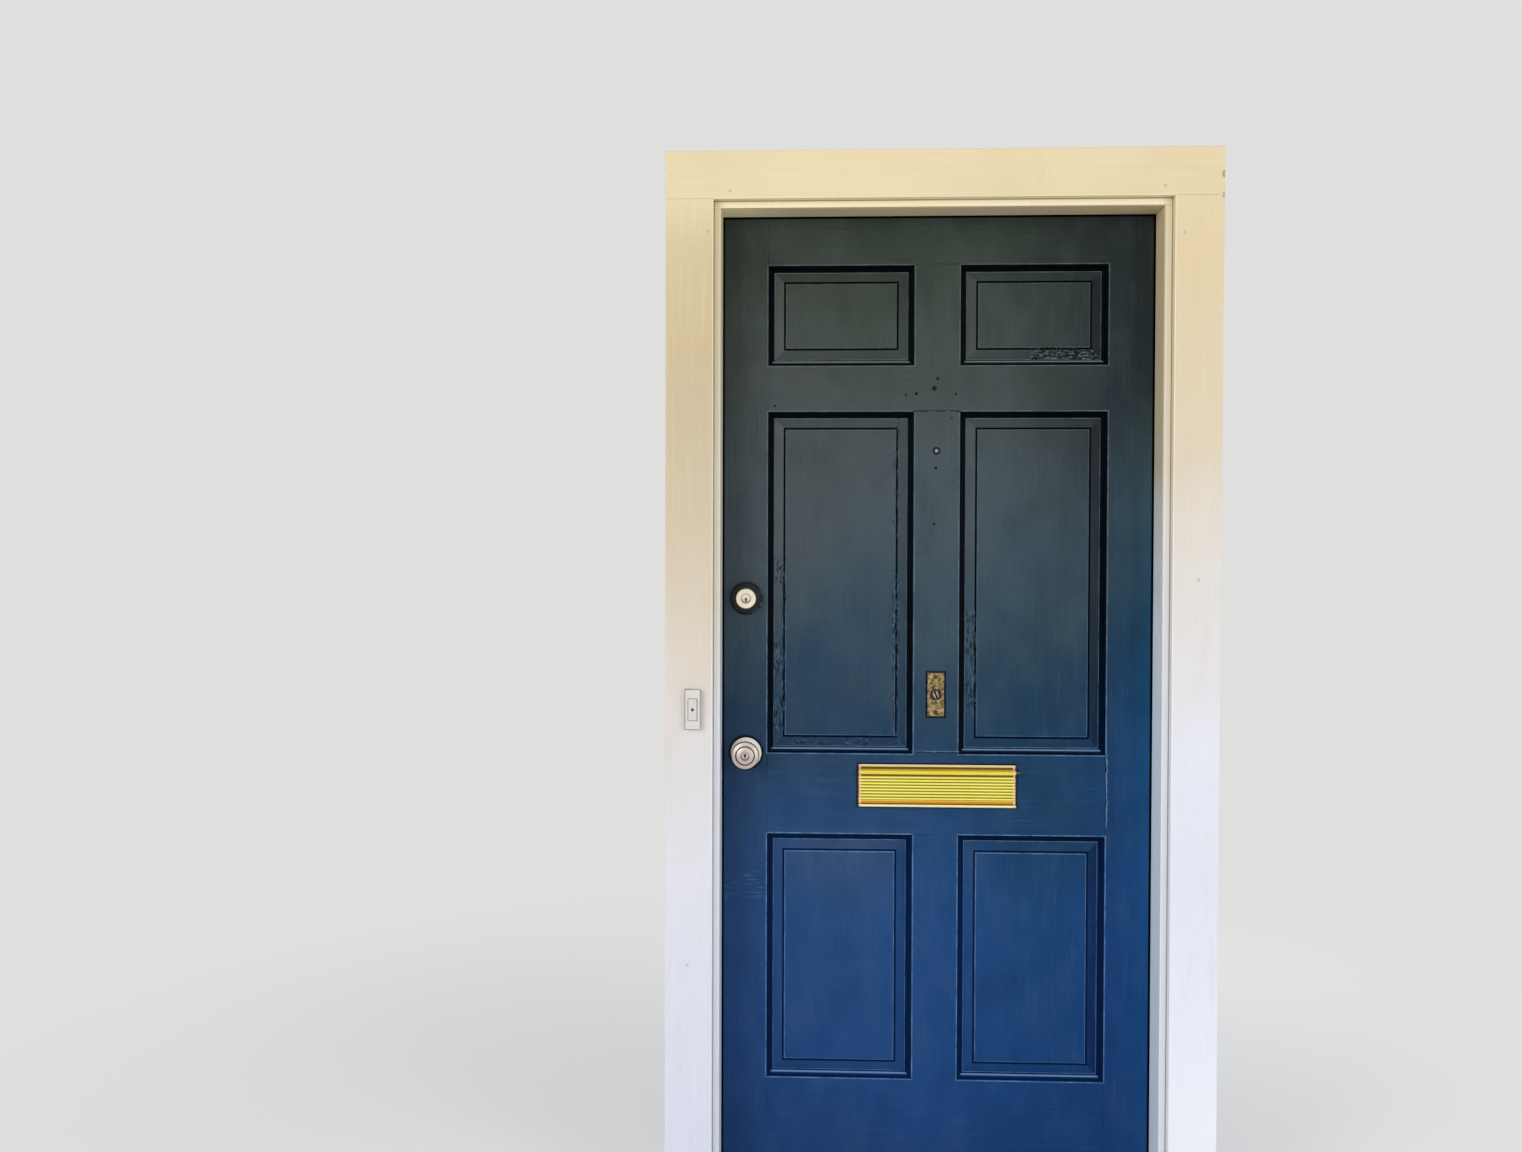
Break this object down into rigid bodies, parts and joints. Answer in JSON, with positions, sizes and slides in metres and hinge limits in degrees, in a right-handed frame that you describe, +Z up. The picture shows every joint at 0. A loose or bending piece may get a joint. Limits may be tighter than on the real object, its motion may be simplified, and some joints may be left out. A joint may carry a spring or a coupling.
{
  "type": "panelled front door with frame",
  "caption": "Painted six-panel front door hung in its frame, with knob, deadbolt, mail slot, turn-bell plate and bell push.",
  "frame": {"origin": "underside of the sill, at the middle of the doorway and level with the jambs' front edge", "axes": "+Z up, +X to the right as seen from the porch, +Y into the house"},
  "size_m": [1.116, 0.2187, 2.1738],
  "materials": {
    "door_paint": "satin blue-grey paint",
    "frame_paint": "worn cream gloss paint",
    "threshold_metal": "mill, scuffed",
    "weatherstrip": "matte",
    "bright_brass": "polished",
    "aged_brass": "tarnished",
    "satin_nickel": "satin",
    "collar_finish": "dark, brushed over",
    "steel_hardware": "dull zinc",
    "bell_plastic": "aged gloss",
    "button_plastic": "translucent gloss"
  },
  "bodies": {
    "frame": {"jamb_lock": "frame_paint", "jamb_hinge": "frame_paint", "jamb_head": "frame_paint", "door_stops": "frame_paint", "sill": "frame_paint", "threshold": "threshold_metal", "casing_left": "frame_paint", "casing_right": "frame_paint", "casing_head": "frame_paint", "weatherstrip": "weatherstrip", "strike_latch": "steel_hardware", "strike_bolt": "steel_hardware", "hinge_frame_leaf_top": "steel_hardware", "hinge_frame_leaf_middle": "steel_hardware", "hinge_frame_leaf_bottom": "steel_hardware", "hinge_pins": "steel_hardware", "frame_screws": "steel_hardware", "bell_body": "bell_plastic"},
    "leaf": {"stile_lock": "door_paint", "stile_hinge": "door_paint", "rail_top": "door_paint", "rail_frieze": "door_paint", "rail_lock": "door_paint", "rail_bottom": "door_paint", "mullion_top": "door_paint", "mullion_middle": "door_paint", "mullion_bottom": "door_paint", "panel_top_left": "door_paint", "panel_top_right": "door_paint", "panel_middle_left": "door_paint", "panel_middle_right": "door_paint", "panel_bottom_left": "door_paint", "panel_bottom_right": "door_paint", "hinge_door_leaf_top": "steel_hardware", "hinge_door_leaf_middle": "steel_hardware", "hinge_door_leaf_bottom": "steel_hardware", "leaf_screws": "steel_hardware", "latch_case": "steel_hardware", "bolt_case": "steel_hardware", "knob_rose_outer": "satin_nickel", "knob_rose_inner": "satin_nickel", "bolt_collar": "collar_finish", "bolt_cylinder": "satin_nickel", "bolt_rose_inner": "satin_nickel", "bolt_screws": "satin_nickel", "mail_plate_outer": "bright_brass", "mail_plate_inner": "bright_brass", "mail_flap_pins": "aged_brass", "turn_bell_plate": "aged_brass"},
    "knob": {"knob_outer": "satin_nickel", "knob_inner": "satin_nickel"},
    "knob_lock": {"knob_key_plug": "satin_nickel", "knob_turn_button": "satin_nickel"},
    "latch": {"latch_bolt": "steel_hardware"},
    "bolt_turn": {"bolt_key_plug": "satin_nickel", "thumbturn": "satin_nickel"},
    "bolt": {"dead_bolt": "steel_hardware"},
    "flap_outer": {"mail_flap_outer": "bright_brass"},
    "flap_inner": {"mail_flap_inner": "bright_brass"},
    "bell_button": {"bell_button": "button_plastic"}
  },
  "joints": [
    {"name": "door_swing", "type": "hinge", "parent": "frame", "child": "leaf", "pos_m": [0.4587, 0.123, 1.13], "axis": [0, 0, -1], "range_deg": [0, 110]},
    {"name": "knob_turn", "type": "hinge", "parent": "leaf", "child": "knob", "pos_m": [-0.3969, 0.09373, 0.942], "axis": [0, 1, 0], "range_deg": [0, 50], "stiffness_Nm_per_rad": 0.3, "springref_deg": -17.19},
    {"name": "latch_slide", "type": "slide", "parent": "leaf", "child": "latch", "axis": [1, 0, 0], "range_m": [0, 0.0121]},
    {"name": "knob_lock_turn", "type": "hinge", "parent": "knob", "child": "knob_lock", "pos_m": [-0.3969, 0.09373, 0.942], "axis": [0, 1, 0], "range_deg": [0, 90]},
    {"name": "bolt_turn_joint", "type": "hinge", "parent": "leaf", "child": "bolt_turn", "pos_m": [-0.3969, 0.09373, 1.267], "axis": [0, 1, 0], "range_deg": [0, 90]},
    {"name": "bolt_slide", "type": "slide", "parent": "leaf", "child": "bolt", "axis": [-1, 0, 0], "range_m": [0, 0.0254]},
    {"name": "outer_flap_swing", "type": "hinge", "parent": "leaf", "child": "flap_outer", "pos_m": [0.003, 0.06485, 0.9048], "axis": [-1, 0, 0], "range_deg": [0, 85], "stiffness_Nm_per_rad": 0.05, "springref_deg": -34.38},
    {"name": "inner_flap_swing", "type": "hinge", "parent": "leaf", "child": "flap_inner", "pos_m": [0.003, 0.1226, 0.9048], "axis": [1, 0, 0], "range_deg": [0, 85], "stiffness_Nm_per_rad": 0.05, "springref_deg": -34.38},
    {"name": "bell_press", "type": "slide", "parent": "frame", "child": "bell_button", "axis": [0, 1, 0], "range_m": [0, 0.0015], "stiffness_N_per_m": 300, "springref_m": -0.002}
  ],
  "couplings": [
    {"joint": "latch_slide", "follows": "knob_turn", "m_per_rad": 0.01375},
    {"joint": "bolt_turn_joint", "follows": "bolt_slide", "rad_per_m": 61.84}
  ]
}
